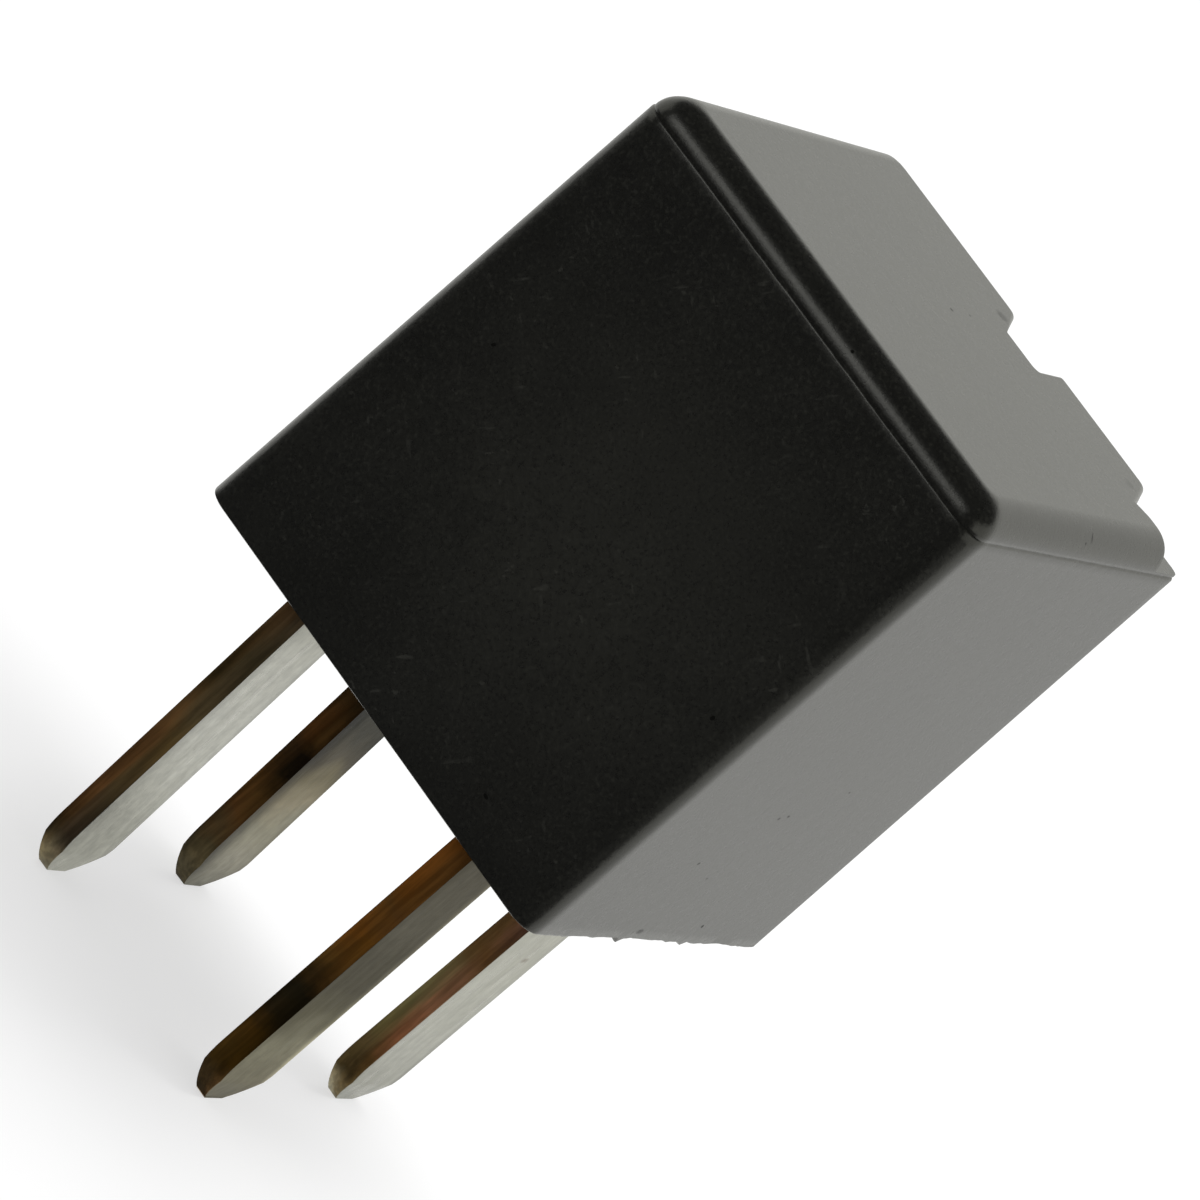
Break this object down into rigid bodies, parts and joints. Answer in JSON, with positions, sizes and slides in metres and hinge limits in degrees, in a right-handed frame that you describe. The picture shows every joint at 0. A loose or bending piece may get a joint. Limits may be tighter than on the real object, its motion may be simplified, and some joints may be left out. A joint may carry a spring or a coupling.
{
  "type": "automotive relay",
  "caption": "Sealed automotive relay: near-cubic black moulded case with a notched back edge, four parallel blade terminals below, coil, yoke, hinged armature and leaf-spring contact inside.",
  "frame": {"origin": "middle of the case's footprint, on the plane of the case's rim, where it seats on the socket", "axes": "+Z out of the roof, blades point along -Z; -Y is the plain front, +Y the back with the notches, +X the side beside the load terminals"},
  "size_m": [0.015, 0.0148, 0.0274],
  "materials": {
    "black_moulding": "black glass-filled plastic, fine satin moulded skin, slightly dusty",
    "base_moulding": "black moulded plastic",
    "sealing_resin": "poured epoxy, glossy, with a meniscus",
    "tinned_strip": "tin-plated copper alloy strip, bare tarnished copper on its sheared edges",
    "bobbin_moulding": "natural glass-filled nylon",
    "enamelled_wire": "enamelled copper wire",
    "soft_iron": "zinc-plated soft iron",
    "spring_bronze": "rolled spring bronze",
    "rivet_steel": "bright plated steel",
    "contact_silver": "silver alloy contact",
    "tinned_pin": "tinned wire",
    "resistor_lacquer": "blue-grey lacquer",
    "solder": "bright solder"
  },
  "bodies": {
    "relay": {"cover": "black_moulding", "base": "base_moulding", "base_seal": "sealing_resin", "terminal_30": "tinned_strip", "terminal_87": "tinned_strip", "terminal_85": "tinned_strip", "terminal_86": "tinned_strip", "bobbin": "bobbin_moulding", "coil_winding": "enamelled_wire", "core": "soft_iron", "yoke": "soft_iron", "yoke_rivets": "rivet_steel", "fixed_contact": "contact_silver", "back_stop": "rivet_steel", "coil_pin_start": "tinned_pin", "coil_pin_end": "tinned_pin", "suppression_resistor": "resistor_lacquer", "resistor_leads": "tinned_pin", "solder_joints": "solder"},
    "armature_group": {"armature": "soft_iron", "contact_spring": "spring_bronze", "armature_rivets": "rivet_steel", "moving_contact": "contact_silver"}
  },
  "joints": [
    {"name": "armature_hinge", "type": "hinge", "parent": "relay", "child": "armature_group", "pos_m": [0, 0.00578, 0.01283], "axis": [1, 0, 0], "range_deg": [0, 3], "stiffness_Nm_per_rad": 0.03, "springref_deg": -5.73, "deforming": ["contact_spring"]}
  ]
}
